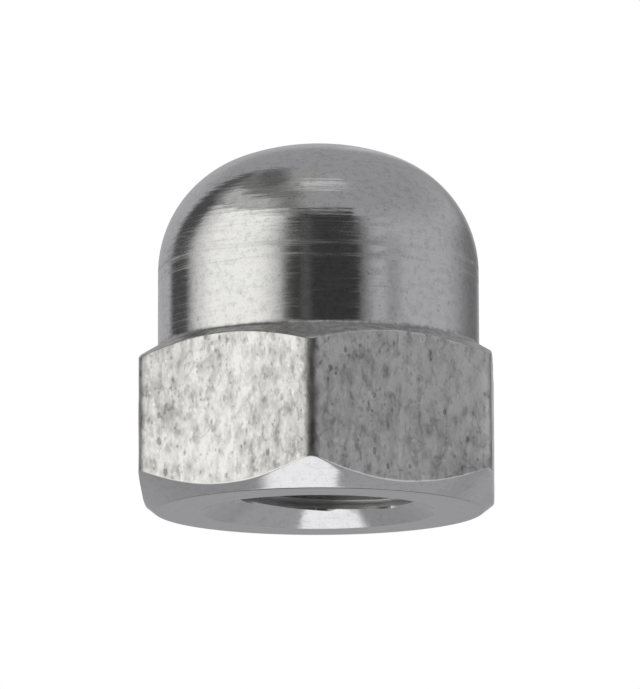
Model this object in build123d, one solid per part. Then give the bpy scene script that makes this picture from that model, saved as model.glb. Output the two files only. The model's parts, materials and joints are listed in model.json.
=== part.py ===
from build123d import *

import os
from math import radians, sin, sqrt, tan

# Domed cap nut, turned and tapped in one piece from hexagon bar.
#
# Millimetres, +Z up. The origin is the centre of the bearing face. The nut stands on that face
# with its dome upwards. Two corners of the hexagon lie on the Y axis and two flats face along X.

# Hexagon
across_flats = 16.9  # a 17 mm hexagon, at the middle of its tolerance
hex_height = 8.0  # from the bearing face to the foot of the dome
corner_radius = 0.85  # the drawn bar's own rounded corners
bearing_inset = 0.5  # from a flat in to the edge of the bearing face
bearing_edge_radius = 0.12
lower_chamfer_angle = 38.0  # from the bearing face
upper_chamfer_angle = 31.0  # from the bearing face

# Dome: a straight side, then a shoulder arc, then a flatter crown arc
total_height = 18.0
dome_inset = 0.63  # from a flat in to the side of the dome
crown_radius = 11.3
shoulder_radius = 5.9
foot_fillet = 0.2  # hollow round where the dome rises out of the upper chamfer

# Blind hole for an M10 x 1.5 thread. It has the size of the tapping drill, with no helix.
tap_drill_diameter = 8.5
drill_point_angle = 118.0  # included
top_wall = 2.05  # metal left above the drill point
countersink_flare = 1.45  # from the wall of the hole out to the edge of the countersink
countersink_angle = 120.0  # included

# Outlines are drawn with X as the radius and Y as the height, then stood up and turned.


def turned(outline):
    return revolve(Plane.XZ * make_face(outline), Axis.Z)


def rounded_corner(start, corner, end, radius):
    """The arc of that radius in the corner of two straight lines."""
    to_start = (start - corner).normalized()
    to_end = (end - corner).normalized()
    half_angle = radians(to_start.get_angle(to_end)) / 2
    reach = radius / tan(half_angle)
    middle = corner + (to_start + to_end).normalized() * (radius / sin(half_angle) - radius)
    return ThreePointArc(corner + to_start * reach, middle, corner + to_end * reach)


def turned_blank():
    """The body that the lathe would leave on round bar: both chamfers and the dome."""
    centre = Vector(0, 0)
    bearing_edge = Vector(across_flats / 2 - bearing_inset, 0)
    dome_foot = Vector(across_flats / 2 - dome_inset, hex_height)
    top = Vector(0, total_height)

    # Both chamfers run on out to a radius that no corner of the bar reaches.
    outer_r = 0.6 * across_flats
    lower_rise = (outer_r - bearing_edge.X) * tan(radians(lower_chamfer_angle))
    upper_drop = (outer_r - dome_foot.X) * tan(radians(upper_chamfer_angle))
    lower_end = Vector(outer_r, lower_rise)
    upper_end = Vector(outer_r, hex_height - upper_drop)

    # The crown arc is centred on the axis. The shoulder arc is tangent to it and to the side.
    crown_centre = top - Vector(0, crown_radius)
    shoulder_r = dome_foot.X - shoulder_radius
    centres_apart = crown_radius - shoulder_radius
    shoulder_centre = crown_centre + Vector(shoulder_r, sqrt(centres_apart**2 - shoulder_r**2))
    to_join = (shoulder_centre - crown_centre).normalized()
    shoulder_start = shoulder_centre + Vector(shoulder_radius, 0)
    shoulder_middle = shoulder_centre + (to_join + Vector(1, 0)).normalized() * shoulder_radius
    join = shoulder_centre + to_join * shoulder_radius
    crown_middle = crown_centre + (to_join + Vector(0, 1)).normalized() * crown_radius

    bearing_round = rounded_corner(centre, bearing_edge, lower_end, bearing_edge_radius)
    foot_round = rounded_corner(upper_end, dome_foot, shoulder_start, foot_fillet)
    return turned(
        [
            Line(centre, bearing_round @ 0),
            bearing_round,
            Line(bearing_round @ 1, lower_end),
            Line(lower_end, upper_end),
            Line(upper_end, foot_round @ 0),
            foot_round,
            Line(foot_round @ 1, shoulder_start),
            ThreePointArc(shoulder_start, shoulder_middle, join),
            ThreePointArc(join, crown_middle, top),
            Line(top, centre),
        ]
    )


def hexagon_bar():
    """The drawn bar, with corners on the Y axis, as long as the nut is high."""
    section = RegularPolygon(across_flats / 2, 6, major_radius=False, rotation=30)
    section = fillet(section.vertices(), corner_radius)
    return extrude(section, total_height)


def blind_hole():
    """The space of the hole: countersink, drilling and drill point."""
    hole_r = tap_drill_diameter / 2
    mouth_r = hole_r + countersink_flare
    countersink_depth = countersink_flare / tan(radians(countersink_angle / 2))
    tip_z = total_height - top_wall
    drilled_z = tip_z - hole_r / tan(radians(drill_point_angle / 2))
    return turned(
        Polyline(
            (0, 0),
            (mouth_r, 0),
            (hole_r, countersink_depth),
            (hole_r, drilled_z),
            (0, tip_z),
            close=True,
        )
    )


def cap_nut():
    return (turned_blank() & hexagon_bar()) - blind_hole()


os.makedirs("parts", exist_ok=True)
export_step(cap_nut(), "parts/cap_nut.step")
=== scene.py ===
import json
import math

import bmesh
import bpy
from mathutils import Matrix, Vector


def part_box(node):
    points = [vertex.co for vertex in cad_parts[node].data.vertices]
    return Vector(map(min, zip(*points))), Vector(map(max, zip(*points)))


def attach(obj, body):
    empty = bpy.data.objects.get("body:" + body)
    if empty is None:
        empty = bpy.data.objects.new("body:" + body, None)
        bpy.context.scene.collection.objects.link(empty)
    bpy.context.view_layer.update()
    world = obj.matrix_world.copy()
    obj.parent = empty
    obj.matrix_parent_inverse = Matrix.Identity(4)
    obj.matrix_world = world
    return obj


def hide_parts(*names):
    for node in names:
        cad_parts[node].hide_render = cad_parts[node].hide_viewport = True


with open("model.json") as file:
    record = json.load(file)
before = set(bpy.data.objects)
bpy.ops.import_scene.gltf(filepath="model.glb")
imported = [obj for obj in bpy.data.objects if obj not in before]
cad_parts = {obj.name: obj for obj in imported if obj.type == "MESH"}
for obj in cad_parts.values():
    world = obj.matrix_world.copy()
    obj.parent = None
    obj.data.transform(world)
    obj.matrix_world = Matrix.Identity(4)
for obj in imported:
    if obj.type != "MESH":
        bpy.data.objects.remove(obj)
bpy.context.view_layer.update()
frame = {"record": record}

mm = 0.001
nutLow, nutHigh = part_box("cap_nut")
mounts = {mount["name"]: mount for mount in frame["record"]["mounts"]}


class Wire:
    # An output of a node. Arithmetic on wires adds Math nodes to their tree.
    def __init__(self, tree, socket=None):
        self.tree = tree
        self.socket = socket

    def node(self, kind, settings=None, values=None, output=0):
        new = self.tree.nodes.new(kind)
        for name, setting in (settings or {}).items():
            setattr(new, name, setting)
        for name, value in (values or {}).items():
            for one in value if isinstance(value, list) else [value]:
                if isinstance(one, Wire):
                    self.tree.links.new(one.socket, new.inputs[name])
                else:
                    new.inputs[name].default_value = one
        return Wire(self.tree, new.outputs[output]) if new.outputs else None

    def output(self, name):
        return Wire(self.tree, self.socket.node.outputs[name])

    def math(self, operation, *others):
        values = dict(enumerate((self, *others)))
        return self.node("ShaderNodeMath", {"operation": operation}, values)

    def __add__(self, other):
        return self.math("ADD", other)

    def __sub__(self, other):
        return self.math("SUBTRACT", other)

    def __mul__(self, other):
        return self.math("MULTIPLY", other)

    def __truediv__(self, other):
        return self.math("DIVIDE", other)

    def __rsub__(self, other):
        return self.node("ShaderNodeMath", {"operation": "SUBTRACT"}, {0: other, 1: self})

    def __rtruediv__(self, other):
        return self.node("ShaderNodeMath", {"operation": "DIVIDE"}, {0: other, 1: self})

    def __neg__(self):
        return self * -1

    def __gt__(self, other):
        return self.math("GREATER_THAN", other)

    def __lt__(self, other):
        return self.math("LESS_THAN", other)

    def __abs__(self):
        return self.math("ABSOLUTE")

    __radd__ = __add__
    __rmul__ = __mul__

    def sin(self):
        return self.math("SINE")

    def cos(self):
        return self.math("COSINE")

    def tan(self):
        return self.math("TANGENT")

    def root(self):
        return self.math("SQRT")

    def atMost(self, other):
        return self.math("MINIMUM", other)

    def atLeast(self, other):
        return self.math("MAXIMUM", other)

    def blend(self, other, share):
        # this value where share is 0, the other where it is 1
        return self + (other - self) * share

    def rise(self, low, high):
        # 0 below low, 1 above high, smooth between
        values = {"Value": self, "From Min": low, "From Max": high}
        return self.node("ShaderNodeMapRange", {"interpolation_type": "SMOOTHSTEP"}, values)

    def band(self, riseLow, riseHigh, fallLow, fallHigh):
        # 1 between the rise and the fall, 0 outside them
        return self.rise(riseLow, riseHigh) * (1 - self.rise(fallLow, fallHigh))


def makePolar(start, radius, angle, height):
    values = {"X": radius * angle.cos(), "Y": radius * angle.sin(), "Z": height}
    return start.node("ShaderNodeCombineXYZ", None, values)


# The nut, in millimetres and degrees. These are the inputs of its Geometry Nodes tree.
nutSizes = {
    "acrossFlats": (nutHigh.x - nutLow.x) / mm,
    "hexHeight": 8.0,
    "cornerRadius": 0.85,  # the drawn bar's rounded corners
    "bearingInset": 0.5,  # from a flat in to the edge of the bearing face
    "lowerAngle": 38.0,  # chamfers, from the bearing face
    "upperAngle": 31.0,
    "edgeReach": 0.09,  # how far each broken edge reaches along its faces
    "footReach": 0.12,  # the same for the hollow at the foot of the dome
    "totalHeight": nutHigh.z / mm,
    "domeInset": 0.63,
    "crownRadius": 11.3,
    "shoulderRadius": 5.9,
    "drillRadius": mounts["thread"]["dims"]["r_mm"],
    "pointAngle": 118.0,
    "topWall": 2.05,
    "mouthFlare": 1.45,
    "mouthAngle": 120.0,
    "pitch": 1.5,
    "threadRadius": 5.0,  # at the roots
    "threadRootFlat": 0.19,
    "threadFade": 2.6,  # the last turns get shallower over this height
    "threadStop": 0.4,  # from the last turn to the end of the drilled wall
    "flatWave": 0.035,  # unevenness of the drawn flats
    "flatWaveScale": 0.9,  # waves for each millimetre
    "flatWaveSeed": 3.0,
}
flankSlope = math.tan(math.radians(60))  # depth of the thread for each length along the axis
mergeDistance = 0.0005  # millimetres
sharpAngle = 24  # degrees between two faces, above which their edge isn't shaded smooth

# The mesh's columns and rows.
sideCount = 6
sideColumns = 40
roundColumns = sideCount * sideColumns
halfSide = math.radians(180 / sideCount)
threadTurns = 10
threadRows = 14  # for each turn
drillPointRows = 6
profileRows = {
    "bearing": 5,
    "bearingEdge": 4,
    "lowerChamfer": 7,
    "lowerEdge": 5,
    "flat": 60,
    "upperEdge": 5,
    "upperChamfer": 7,
    "foot": 4,
    "side": 12,
    "shoulder": 30,
    "crown": 20,
}


def makeGrid(start, columns, rows):
    # a grid, and its column and row numbers as two fields
    sizes = {"Size X": columns, "Size Y": rows, "Vertices X": columns + 1, "Vertices Y": rows + 1}
    grid = start.node("GeometryNodeMeshGrid", None, sizes)
    position = start.node("GeometryNodeInputPosition")
    along = start.node("ShaderNodeSeparateXYZ", None, {"Vector": position})
    return grid, along + columns / 2, along.output("Y") + rows / 2


def markFaces(mesh, name, field):
    settings = {"data_type": "FLOAT", "domain": "FACE"}
    values = {"Geometry": mesh, "Name": name, "Value": field}
    return mesh.node("GeometryNodeStoreNamedAttribute", settings, values)


def setPlace(mesh, place):
    return mesh.node("GeometryNodeSetPosition", None, {"Geometry": mesh, "Position": place})


def turnOver(mesh):
    return mesh.node("GeometryNodeFlipFaces", None, {"Mesh": mesh})


def makeOutside(start, size):
    # Everything outside the mouth of the hole: each column follows the section of the nut in its
    # own direction, and the flats are where the hexagon is nearer the axis than the turned shape.
    grid, column, row = makeGrid(start, roundColumns, sum(profileRows.values()))
    shares = {}
    rowsBefore = 0
    for name, count in profileRows.items():
        shares[name] = ((row - rowsBefore) / count).atLeast(0).atMost(1)
        rowsBefore += count

    # Columns crowd towards the corners of the hexagon, and even out on the round faces.
    side = (column / sideColumns).math("FLOOR").atMost(sideCount - 1)
    across = (column / sideColumns - side) * 2 - 1
    evenness = 1 - shares["bearing"] + shares["upperChamfer"]
    lean = (across * math.pi / 2).sin().blend(across, evenness) * halfSide
    angle = side * 2 * halfSide + lean

    flatDistance = size["acrossFlats"] / 2
    cornerRadius = size["cornerRadius"]
    flatHalf = (flatDistance - cornerRadius) * math.tan(halfSide)
    beyondFlat = abs(lean).tan() * flatDistance > flatHalf
    cornerCentre = (flatDistance - cornerRadius) / math.cos(halfSide)
    offCorner = halfSide - abs(lean)
    chord = cornerCentre * offCorner.sin()
    beyondCentre = (cornerRadius * cornerRadius - chord * chord).root()
    cornerDistance = cornerCentre * offCorner.cos() + beyondCentre
    barDistance = (flatDistance / lean.cos()).blend(cornerDistance, beyondFlat)

    mouthRadius = size["drillRadius"] + size["mouthFlare"]
    bearingRadius = flatDistance - size["bearingInset"]
    domeRadius = flatDistance - size["domeInset"]
    lower = size["lowerAngle"] * math.pi / 180
    upper = size["upperAngle"] * math.pi / 180
    crownCentre = size["totalHeight"] - size["crownRadius"]
    shoulderOut = domeRadius - size["shoulderRadius"]
    centresApart = size["crownRadius"] - size["shoulderRadius"]
    shoulderUp = (centresApart * centresApart - shoulderOut * shoulderOut).root()
    joinAngle = shoulderUp.math("ARCTAN2", shoulderOut)

    # Straight legs: name, length out and up, direction out and up, then the name and the reach of
    # the corner that follows.
    edge, foot = size["edgeReach"], size["footReach"]
    lowerOut = barDistance - bearingRadius
    lowerUp = lowerOut * lower.tan()
    upperIn = barDistance - domeRadius
    upperUp = upperIn * upper.tan()
    legs = [
        ("bearing", bearingRadius - mouthRadius, 0, 1, 0, "bearingEdge", edge),
        ("lowerChamfer", lowerOut, lowerUp, lower.cos(), lower.sin(), "lowerEdge", edge),
        ("flat", 0, size["hexHeight"] - lowerUp - upperUp, 0, 1, "upperEdge", edge),
        ("upperChamfer", -upperIn, upperUp, -upper.cos(), upper.sin(), "foot", foot),
        ("side", 0, crownCentre + shoulderUp - size["hexHeight"], 0, 1, None, 0),
    ]
    radius, height, reachBefore = mouthRadius, start.node("ShaderNodeValue"), 0
    for index, (name, out, up, toOut, toUp, corner, reach) in enumerate(legs):
        share = shares[name]
        cut = reachBefore + reach
        radius = radius + (out - cut * toOut) * share
        height = height + (up - cut * toUp) * share
        if corner:
            share = shares[corner]
            leaving = share * share * reach
            arriving = share * 2 * reach - leaving
            nextOut, nextUp = legs[index + 1][3:5]
            radius = radius + arriving * toOut + leaving * nextOut
            height = height + arriving * toUp + leaving * nextUp
        reachBefore = reach

    turn = joinAngle * shares["shoulder"]
    radius = radius + size["shoulderRadius"] * (turn.cos() - 1)
    height = height + size["shoulderRadius"] * turn.sin()
    turn = joinAngle + (math.pi / 2 - joinAngle) * shares["crown"]
    radius = radius + size["crownRadius"] * (turn.cos() - joinAngle.cos())
    height = height + size["crownRadius"] * (turn.sin() - joinAngle.sin())

    onBar = shares["lowerEdge"] * (1 - shares["upperEdge"])
    place = makePolar(start, radius, angle, height)
    values = {"Vector": place, "W": size["flatWaveSeed"], "Scale": size["flatWaveScale"], "Detail": 2.0}
    wave = start.node("ShaderNodeTexNoise", {"noise_dimensions": "4D"}, values) - 0.5
    radius = (radius - size["flatWave"] * 2 * wave * onBar).atLeast(0)
    drawn = (shares["lowerEdge"] > 0.5) * (shares["upperEdge"] < 0.5)
    marked = markFaces(grid, "drawnFace", drawn)
    return setPlace(marked, makePolar(start, radius, angle, height))


def makeThread(start, size):
    # The wall of the hole, as one strip as wide as the pitch that climbs round and round. Each
    # turn meets the next, and what is below the mouth or above the drilling closes onto its end.
    grid, column, row = makeGrid(start, roundColumns * threadTurns, threadRows)
    angle = column * (2 * math.pi / roundColumns) - halfSide
    turns = column / roundColumns + row / threadRows - 1
    drilledHeight = drilledDepth(size)
    height = (turns * size["pitch"]).atLeast(0).atMost(drilledHeight)

    fromRoot = abs(row / threadRows - 0.5) * size["pitch"] - size["threadRootFlat"] / 2
    flank = size["threadRadius"] - fromRoot * flankSlope
    wall = flank.atLeast(size["drillRadius"]).atMost(size["threadRadius"])
    threadEnd = drilledHeight - size["threadStop"]
    fading = 1 - height.rise(threadEnd - size["threadFade"], threadEnd)
    wall = size["drillRadius"] + (wall - size["drillRadius"]) * fading
    mouth = size["mouthAngle"] * (math.pi / 360)  # half of it, in radians
    cone = size["drillRadius"] + size["mouthFlare"] - height * mouth.tan()
    countersunk = cone > wall
    marked = markFaces(grid, "threadFace", 1 - countersunk)
    return turnOver(setPlace(marked, makePolar(start, cone.atLeast(wall), angle, height)))


def drilledDepth(size):
    # height at which the wall of the hole turns into the drill point
    point = size["pointAngle"] * (math.pi / 360)
    return size["totalHeight"] - size["topWall"] - size["drillRadius"] / point.tan()


def makeDrillPoint(start, size):
    grid, column, row = makeGrid(start, roundColumns, drillPointRows)
    angle = column * (2 * math.pi / roundColumns) - halfSide
    share = row / drillPointRows
    radius = size["drillRadius"] * (1 - share)
    height = drilledDepth(size).blend(size["totalHeight"] - size["topWall"], share)
    marked = markFaces(grid, "threadFace", share + 1)
    return turnOver(setPlace(marked, makePolar(start, radius, angle, height)))


def makeNutTree(turned, drawn, threaded):
    tree = bpy.data.node_groups.new("capNutShape", "GeometryNodeTree")
    tree.interface.new_socket("Geometry", in_out="INPUT", socket_type="NodeSocketGeometry")
    for name in nutSizes:
        tree.interface.new_socket(name, in_out="INPUT", socket_type="NodeSocketFloat")
    tree.interface.new_socket("Geometry", in_out="OUTPUT", socket_type="NodeSocketGeometry")
    start = Wire(tree)
    inputs = start.node("NodeGroupInput")
    size = {name: inputs.output(name) for name in nutSizes}

    parts = [makeOutside(start, size), makeThread(start, size), makeDrillPoint(start, size)]
    joined = start.node("GeometryNodeJoinGeometry", None, {"Geometry": parts})
    values = {"Geometry": joined, "Distance": mergeDistance}
    closed = start.node("GeometryNodeMergeByDistance", None, values)
    values = {"Geometry": closed, "Scale": (mm, mm, mm)}
    scaled = start.node("GeometryNodeTransform", None, values)
    smooth = start.node("GeometryNodeSetShadeSmooth", None, {"Geometry": scaled})
    finished = start.node("GeometryNodeRealizeInstances", None, {"Geometry": smooth})
    for material, attribute in ((turned, None), (drawn, "drawnFace"), (threaded, "threadFace")):
        values = {"Geometry": finished, "Material": material}
        if attribute:
            named = {"data_type": "FLOAT"}
            marks = start.node("GeometryNodeInputNamedAttribute", named, {"Name": attribute})
            values["Selection"] = marks > 0.5
        finished = start.node("GeometryNodeSetMaterial", None, values)
    start.node("NodeGroupOutput", None, {"Geometry": finished})
    return tree


def makeCapNut(turned, drawn, threaded):
    nut = bpy.data.objects.new("cap_nut_body", bpy.data.meshes.new("cap_nut_body"))
    bpy.context.scene.collection.objects.link(nut)
    shape = nut.modifiers.new("shape", "NODES")
    shape.node_group = makeNutTree(turned, drawn, threaded)
    for item in shape.node_group.interface.items_tree:
        if item.name in nutSizes:
            shape[item.identifier] = float(nutSizes[item.name])
    graph = bpy.context.evaluated_depsgraph_get()
    plain = bpy.data.meshes.new_from_object(nut.evaluated_get(graph))
    nut.modifiers.remove(shape)
    nut.data = plain
    plain.name = nut.name
    for attribute in ("drawnFace", "threadFace"):
        plain.attributes.remove(plain.attributes[attribute])

    body = bmesh.new()
    body.from_mesh(plain)
    openEdges = sum(len(edge.link_faces) != 2 for edge in body.edges)
    if body.calc_volume(signed=True) < 0:
        bmesh.ops.reverse_faces(body, faces=body.faces)
    volume = body.calc_volume(signed=True) / mm**3
    body.to_mesh(plain)
    body.free()
    plain.set_sharp_from_angle(angle=math.radians(sharpAngle))
    print("cap nut:", len(plain.polygons), "faces,", openEdges, "open edges,", round(volume), "mm3")
    return nut


def mixColours(start, first, second, share):
    # the first colour where share is 0, the second where it is 1
    values = {"Factor": share, 6: first, 7: second}  # 6 and 7 are the sockets for colours
    return start.node("ShaderNodeMix", {"data_type": "RGBA"}, values, 2)


def makeMetal(name, finish, pattern):
    # pattern gives the share of stain, with the painted shade and painted glints of some finishes in
    # it, the roughness added and the relief in millimetres
    material = bpy.data.materials.new(name)
    material.use_nodes = True
    tree = material.node_tree
    tree.nodes.clear()
    start = Wire(tree)
    place = start.node("ShaderNodeTexCoord", None, None, "Object")
    stain, extraRoughness, relief = pattern(start, place, finish)
    values = {
        "Base Color": mixColours(start, finish["colour"], finish["stainColour"], stain),
        "Metallic": 1.0,
        "Roughness": extraRoughness + finish["roughness"],
        "Normal": start.node("ShaderNodeBump", None, {"Height": relief * mm, "Distance": 1.0}),
    }
    shader = start.node("ShaderNodeBsdfPrincipled", None, values)
    start.node("ShaderNodeOutputMaterial", None, {"Surface": shader})
    print("finish:", name)
    return material


def stretched(start, place, scaleXY, scaleZ):
    scale = (scaleXY / mm, scaleXY / mm, scaleZ / mm)
    return start.node("ShaderNodeVectorMath", {"operation": "MULTIPLY"}, {0: place, 1: scale})


def spread(start, place, scaleXY, scaleZ, detail, seed):
    # noise from 0 to 1, with features of about 1 / scale millimetres
    vector = stretched(start, place, scaleXY, scaleZ)
    values = {"Vector": vector, "W": seed, "Scale": 1.0, "Detail": detail}
    return start.node("ShaderNodeTexNoise", {"noise_dimensions": "4D"}, values)


def specks(start, place, scaleXY, scaleZ, largest, seed):
    # separate spots of all sizes up to the largest, which is a share of their spacing
    vector = stretched(start, place, scaleXY, scaleZ)
    values = {"Vector": vector, "W": seed, "Scale": 2.5, "Detail": 1.0}
    noise = start.node("ShaderNodeTexNoise", {"noise_dimensions": "4D"}, values)
    bend = {0: noise.output("Color"), 1: (0.3, 0.3, 0.3), 2: vector}  # makes the spots uneven
    vector = start.node("ShaderNodeVectorMath", {"operation": "MULTIPLY_ADD"}, bend)
    values = {"Vector": vector, "W": seed, "Scale": 1.0}
    distance = start.node("ShaderNodeTexVoronoi", {"voronoi_dimensions": "4D"}, values)
    chance = start.node("ShaderNodeSeparateColor", None, {"Color": distance.output("Color")})
    reach = (chance * chance * largest).atLeast(0.01)
    return 1 - (distance / reach).rise(0.5, 1.0)


def aroundAxis(start, place):
    # direction from the axis as two parts, distance along the turned section, and height
    x = start.node("ShaderNodeSeparateXYZ", None, {"Vector": place})
    y, z = x.output("Y"), x.output("Z")
    radius = (x * x + y * y).root().atLeast(1e-6)
    onDome = z > 4 * mm  # the section runs inwards there, and outwards below
    along = ((z + radius) / mm).blend((z - radius) / mm, onDome)
    return x / radius, y / radius, along, z / mm


def ringNoise(start, around, alongScale, aroundScale, detail, seed):
    # noise that is drawn out round the axis, as a cutting tool leaves it
    x, y, along = around[:3]
    values = {"X": x * aroundScale, "Y": y * aroundScale, "Z": along * alongScale}
    vector = start.node("ShaderNodeCombineXYZ", None, values)
    values = {"Vector": vector, "W": seed, "Scale": 1.0, "Detail": detail}
    return start.node("ShaderNodeTexNoise", {"noise_dimensions": "4D"}, values)


# Rings are given as scale along the section, scale round the axis, detail and seed; other noise as
# scale across, scale up, detail and seed; and spots as scale across, scale up, largest and seed.
# A band is given as the heights between which it comes in, and those between which it ends.
turnedFinish = {
    "colour": (0.765, 0.765, 0.765, 1),
    "stainColour": (0.42, 0.42, 0.42, 1),
    "roughness": 0.09,
    "fineRings": (12.0, 3.0, 2.0, 1.0),
    "fineDepth": 0.0011,
    "fineDull": 0.16,  # roughness added, here and below
    "broadRings": (3.0, 0.6, 1.0, 2.0),
    "broadDepth": 0.005,
    "shoulder": (11.0, 12.5, 15.0, 16.5),
    "shoulderDepth": 0.007,  # added to the broad rings
    "dullBand": (11.0, 12.0, 12.4, 13.4),
    "bandDull": 0.08,
    "chatter": (4.5, 8.0, 2.0, 3.0),
    "chatterDepth": 0.006,
    "chatterDull": 0.1,
    "chatterStain": 0.6,  # share of stain, here and below
    "grain": (3.0, 3.0, 4.0, 4.0),
    "grainDepth": 0.0009,
    "grainStain": 1.6,
    "dust": (10.0, 10.0, 1.0, 13.0),
    "dustStain": 1.1,
    "pits": (4.0, 4.0, 0.4, 5.0),
    "pitStain": 0.5,
    "stain": 0.06,
    "toolMarks": (11.25, 11.85),  # heights
    "toolMarkFade": (0.02, 0.2),
    "toolMarkDull": 0.16,
    # the hollow at the foot of the dome and the chamfer under it: their band of heights, the roughness
    # added, and the painted shade there with its grain
    "hollow": (6.7, 7.3, 8.05, 8.2),
    "hollowDull": 0.2,
    "hollowStain": 0.2,
    "hollowGrain": 0.35,
    "lowerShare": 0.55,  # how much of all this the chamfer and countersink below have
}


def turnedPattern(start, place, finish):
    around = aroundAxis(start, place)
    height = around[3]
    fine = ringNoise(start, around, *finish["fineRings"])
    broad = ringNoise(start, around, *finish["broadRings"])
    chatter = ringNoise(start, around, *finish["chatter"])
    grain = spread(start, place, *finish["grain"])
    broadDepth = height.band(*finish["shoulder"]) * finish["shoulderDepth"] + finish["broadDepth"]
    relief = fine * finish["fineDepth"] + broad * broadDepth
    relief = relief + chatter * finish["chatterDepth"] + grain * finish["grainDepth"]

    marks = start.node("ShaderNodeValue")
    for mark in finish["toolMarks"]:
        marks = marks + 1 - abs(height - mark).rise(*finish["toolMarkFade"])
    marks = marks * (0.4 + fine.rise(0.3, 0.6) * 0.6)  # they are broken up by the fine rings
    dull = fine.rise(0.45, 0.75) * finish["fineDull"] + marks * finish["toolMarkDull"]
    dull = dull + chatter.rise(0.5, 0.8) * finish["chatterDull"]
    dull = dull + height.band(*finish["dullBand"]) * finish["bandDull"]

    # Painted shade: the hollow at the foot of the dome, and the chamfer under it, are painted darker
    # and a little grainy where shade and dim reflections fall; they are also made rougher.
    hollow = height.band(*finish["hollow"])
    paintedShade = hollow * (finish["hollowStain"] + grain.rise(0.35, 0.6) * finish["hollowGrain"])
    pits = specks(start, place, *finish["pits"])
    dust = spread(start, place, *finish["dust"])
    stain = finish["stain"] + (grain - 0.5) * finish["grainStain"]
    stain = stain + (chatter - 0.5) * finish["chatterStain"]
    stain = stain + (dust - 0.5) * finish["dustStain"] + pits * finish["pitStain"]
    rough = finish["lowerShare"] + height.rise(2.0, 4.0) * (1 - finish["lowerShare"])
    # the painted shade of the hollow is added to the stain here
    stain = stain * rough + paintedShade
    return stain.atLeast(0).atMost(1), (dull + hollow * finish["hollowDull"]) * rough, relief * rough


drawnFinish = {
    "colour": (0.81, 0.808, 0.798, 1),
    "stainColour": (0.28, 0.277, 0.27, 1),
    "roughness": 0.13,
    "stain": 0.16,
    "cloud": (0.2, 0.15, 2.0, 21.0),
    "cloudStain": 1.2,
    "mottle": (2.0, 1.2, 4.0, 6.0),
    "mottleDepth": 0.018,
    "mottleDull": 0.1,
    "blotchStain": 1.8,
    "streak": (2.8, 0.7, 3.0, 7.0),
    "streakDepth": 0.008,
    "streakStain": 0.6,
    "grain": (8.0, 5.0, 2.0, 8.0),
    "grainDepth": 0.0015,
    "grainStain": 0.6,
    "crease": (0.8, 0.6, 2.0, 10.0),
    "creaseWidth": (0.004, 0.024),
    "creaseBreaks": (1.2, 1.0, 0.0, 9.0),
    "creaseStain": 0.2,
    "dashes": (3.0, 1.5, 1.0, 14.0),
    "dashStain": 0.26,
    "pits": (3.0, 1.8, 0.5, 11.0),
    "pitDepth": 0.01,
    "pitStain": 0.5,
    "dots": (5.5, 4.0, 0.6, 12.0),
    "dotStain": 0.35,
    # painted glints: light spots in the colour that stand in for facets catching the lamp
    "brightDots": (5.0, 4.0, 0.6, 15.0),
    "brightDotStain": -0.25,
    "cornerStart": (9.4, 9.58),  # distance from the axis
    "cornerDull": 0.08,
    "cornerScuff": 0.18,
}


def drawnPattern(start, place, finish):
    cloud = spread(start, place, *finish["cloud"])
    mottle = spread(start, place, *finish["mottle"])
    streak = spread(start, place, *finish["streak"])
    grain = spread(start, place, *finish["grain"])
    broken = spread(start, place, *finish["creaseBreaks"]).rise(0.42, 0.55)
    crease = abs(spread(start, place, *finish["crease"]) - 0.5)
    crease = (1 - crease.rise(*finish["creaseWidth"])) * broken
    pits = specks(start, place, *finish["pits"])
    dots = specks(start, place, *finish["dots"])
    # painted glints, light spots that stand in for facets catching the lamp
    brightDots = specks(start, place, *finish["brightDots"])
    dashes = spread(start, place, *finish["dashes"]).rise(0.54, 0.64)
    relief = mottle * finish["mottleDepth"] + streak * finish["streakDepth"]
    relief = relief + grain * finish["grainDepth"] - pits * finish["pitDepth"]

    stain = finish["stain"] + (mottle - 0.47).atLeast(-0.06) * finish["blotchStain"]
    for noise, name in ((cloud, "cloudStain"), (streak, "streakStain"), (grain, "grainStain")):
        stain = stain + (noise - 0.5) * finish[name]
    stain = stain + crease * finish["creaseStain"] + dashes * finish["dashStain"]
    stain = stain + pits * finish["pitStain"] + dots * finish["dotStain"]
    # the painted glints lighten the colour
    stain = stain + brightDots * finish["brightDotStain"]

    # the rounded corners are scuffed along their length
    x = start.node("ShaderNodeSeparateXYZ", None, {"Vector": place})
    y = x.output("Y")
    onCorner = ((x * x + y * y).root() / mm).rise(*finish["cornerStart"])
    scuff = finish["cornerDull"] + streak.rise(0.3, 0.6) * finish["cornerScuff"]
    dull = mottle.rise(0.4, 0.7) * finish["mottleDull"] + onCorner * scuff
    return stain.atLeast(0).atMost(1), dull, relief


threadFinish = {
    "colour": (0.75, 0.75, 0.75, 1),
    "stainColour": (0.42, 0.42, 0.42, 1),
    "roughness": 0.42,
    "tear": (10.0, 2.5, 2.0, 8.0),
    "tearDepth": 0.004,
    "tearDull": 0.1,
}


def threadPattern(start, place, finish):
    tear = ringNoise(start, aroundAxis(start, place), *finish["tear"])
    return tear.rise(0.45, 0.8), tear * finish["tearDull"], tear * finish["tearDepth"]


turnedSteel = makeMetal("turned_steel", turnedFinish, turnedPattern)
drawnSteel = makeMetal("drawn_steel", drawnFinish, drawnPattern)
threadSteel = makeMetal("thread_steel", threadFinish, threadPattern)
capNut = makeCapNut(turnedSteel, drawnSteel, threadSteel)
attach(capNut, "root")
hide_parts("cap_nut")

cameraPlace = {
    "azimuth": 2.4,  # degrees round from straight in front, to the right
    "elevation": -9.9,
    "roll": -0.18,
    "distance": 0.2851,
    "lens": 306.0,
    "aimHeight": 0.4581,  # as a share of the nut's height
    "aimRight": 0.07 * mm,
    "clip": (0.01, 20),
}


def directionOf(azimuth, elevation):
    a, e = math.radians(azimuth), math.radians(elevation)
    return Vector((math.sin(a) * math.cos(e), -math.cos(a) * math.cos(e), math.sin(e)))


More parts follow.
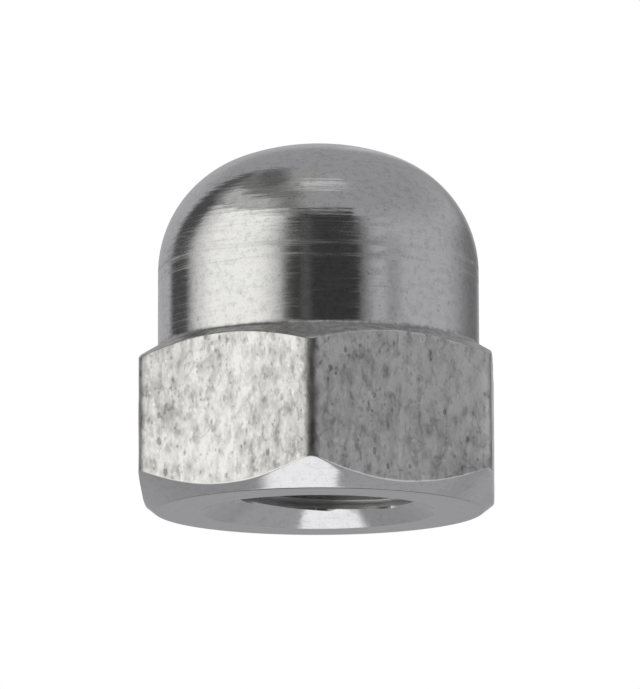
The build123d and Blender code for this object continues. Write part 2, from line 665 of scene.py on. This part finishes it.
def makeCamera(place):
    camera = bpy.data.objects.new("camera", bpy.data.cameras.new("camera"))
    bpy.context.scene.collection.objects.link(camera)
    camera.data.lens = place["lens"]
    camera.data.clip_start, camera.data.clip_end = place["clip"]
    aim = Vector((place["aimRight"], 0, place["aimHeight"] * nutHigh.z))
    back = directionOf(place["azimuth"], place["elevation"])
    roll = Matrix.Rotation(math.radians(place["roll"]), 4, "Z")
    turn = back.to_track_quat("Z", "Y").to_matrix().to_4x4()
    camera.matrix_world = Matrix.Translation(aim + back * place["distance"]) @ turn @ roll
    bpy.context.scene.camera = camera
    print("camera:", place["lens"], "mm lens")


makeCamera(cameraPlace)

# Panels of the studio as the nut sees them. Angles are in degrees, azimuth counted to the right
# of the camera; soft is the width of each edge; a later panel covers an earlier one.
studioPanels = [
    {"azimuth": (-400, 400), "elevation": (-100, -20), "soft": (1, 1, 1, 20), "level": 0.32},
    {"azimuth": (28, 165), "elevation": (-40, 50), "soft": (4, 30, 20, 30), "level": 0.47},
    {"azimuth": (44, 66), "elevation": (-10, 24), "soft": (10, 10, 8, 8), "level": 0.34},
    {"azimuth": (98, 165), "elevation": (-2, 30), "soft": (45, 10, 10, 15), "level": 0.18},
    {"azimuth": (168, 192), "elevation": (-2, 45), "soft": (8, 1, 10, 15), "level": 0.55},
    {"azimuth": (-192, -129), "elevation": (-2, 45), "soft": (1, 7, 10, 15), "level": 0.45},
    {"azimuth": (-136, -100), "elevation": (-2, 66), "soft": (9, 10, 10, 8), "level": 0.08},
    {"azimuth": (-126, -8), "elevation": (40, 71), "soft": (14, 25, 6, 8), "level": 0.2},
    {"azimuth": (-138, -45), "elevation": (61, 80), "soft": (14, 28, 6, 7), "level": 0.135},
    {"azimuth": (-116, -26), "elevation": (44, 58), "soft": (18, 30, 3, 5), "level": 0.52},
    {"azimuth": (-112, -18), "elevation": (-75, 46), "soft": (20, 34, 20, 9), "level": 0.74},
    {"azimuth": (-98, -18), "elevation": (-75, 46), "soft": (20, 34, 20, 9), "level": 1.06},
    {"azimuth": (-30, 46), "elevation": (-60, 40), "soft": (12, 20, 20, 6), "level": 0.12},
    {"azimuth": (-28, 31), "elevation": (-60, 47), "soft": (16, 3, 20, 7), "level": 0.045},
    {"azimuth": (-15, -3), "elevation": (-20, 40), "soft": (5, 5, 10, 6), "level": 0.1},
    {"azimuth": (-45, 60), "elevation": (65, 83), "soft": (25, 25, 8, 8), "level": 0.62},
    {"azimuth": (162, 200), "elevation": (-62, -18), "soft": (10, 1, 10, 6), "level": 0.13},
    {"azimuth": (-200, -162), "elevation": (-62, -18), "soft": (1, 10, 10, 6), "level": 0.13},
    {"azimuth": (35, 90), "elevation": (-60, -15), "soft": (10, 10, 10, 10), "level": 0.65},
    {"azimuth": (70, 175), "elevation": (-85, -35), "soft": (20, 10, 10, 10), "level": 0.38},
]
studioLevel = 0.35
# A lamp below, by where a line of sight meets a plane one unit down. Its ends fade over endSoft.
floorLamp = {
    "across": (-0.34, 0.10),
    "soft": (0.09, 0.02),
    "along": (-0.1, 0.5),
    "endSoft": 0.1,
    "below": -0.3,  # height of the line of sight under which it shows
    "level": 1.06,
}
# a warmer lamp on the left and slightly cooler walls
warmTint = (1.0, 0.995, 0.965, 1)
coolTint = (1.0, 0.99, 1.015, 1)
warmAzimuths = (-130, -80, -40, 10)
seenColour = (1, 1, 1, 1)  # what the camera sees behind the nut


def makeStudio():
    scene = bpy.context.scene
    world = bpy.data.worlds.new("studio")
    world.use_nodes = True
    scene.world = world
    world.node_tree.nodes.clear()
    start = Wire(world.node_tree)
    x = start.node("ShaderNodeSeparateXYZ", None, {"Vector": start.node("ShaderNodeTexCoord")})
    y, z = x.output("Y"), x.output("Z")
    azimuth = x.math("ARCTAN2", -y) * (180 / math.pi) - cameraPlace["azimuth"]
    elevation = z.atLeast(-1).atMost(1).math("ARCSINE") * (180 / math.pi)
    level = start.node("ShaderNodeValue") + studioLevel
    for panel in studioPanels:
        left, right = panel["azimuth"]
        low, high = panel["elevation"]
        softLeft, softRight, softLow, softHigh = panel["soft"]
        mask = azimuth.band(left, left + softLeft, right - softRight, right)
        mask = mask * elevation.band(low, low + softLow, high - softHigh, high)
        level = level.blend(panel["level"], mask)

    down = (-z).atLeast(0.01)
    left, right = floorLamp["across"]
    near, far = floorLamp["along"]
    softLeft, softRight = floorLamp["soft"]
    endSoft = floorLamp["endSoft"]
    lamp = (x / down).band(left, left + softLeft, right - softRight, right)
    lamp = lamp * (y / down).band(near - endSoft, near, far, far + endSoft)
    level = level.blend(floorLamp["level"], lamp * (z < floorLamp["below"]))

    tint = mixColours(start, coolTint, warmTint, azimuth.band(*warmAzimuths))
    light = start.node("ShaderNodeVectorMath", {"operation": "SCALE"}, {0: tint, "Scale": level})
    seen = start.node("ShaderNodeLightPath", None, None, "Is Camera Ray")
    colour = mixColours(start, light, seenColour, seen)
    background = start.node("ShaderNodeBackground", None, {"Color": colour})
    start.node("ShaderNodeOutputWorld", None, {"Surface": background})
    scene.view_settings.view_transform = "Standard"
    print("studio:", len(studioPanels), "panels and a lamp below")


floorPlace = {
    "drop": 0.32,  # below the nut, out of the main view, which looks up at the nut
    "half": 3.0,
    "colour": (0.85, 0.85, 0.85, 1),
}


def makeFloor(place):
    mesh = bpy.data.meshes.new("floor")
    z, half = nutLow.z - place["drop"], place["half"]
    corners = [(-half, -half, z), (half, -half, z), (half, half, z), (-half, half, z)]
    mesh.from_pydata(corners, [], [(0, 1, 2, 3)])
    floor = bpy.data.objects.new("floor", mesh)
    bpy.context.scene.collection.objects.link(floor)
    floor.visible_glossy = False
    paper = bpy.data.materials.new("pale_floor")
    paper.use_nodes = True
    paper.node_tree.nodes.clear()
    start = Wire(paper.node_tree)
    glow = start.node("ShaderNodeEmission", None, {"Color": place["colour"]})
    start.node("ShaderNodeOutputMaterial", None, {"Surface": glow})
    mesh.materials.append(paper)
    print("floor:", place["drop"], "m below the nut")


makeStudio()
makeFloor(floorPlace)
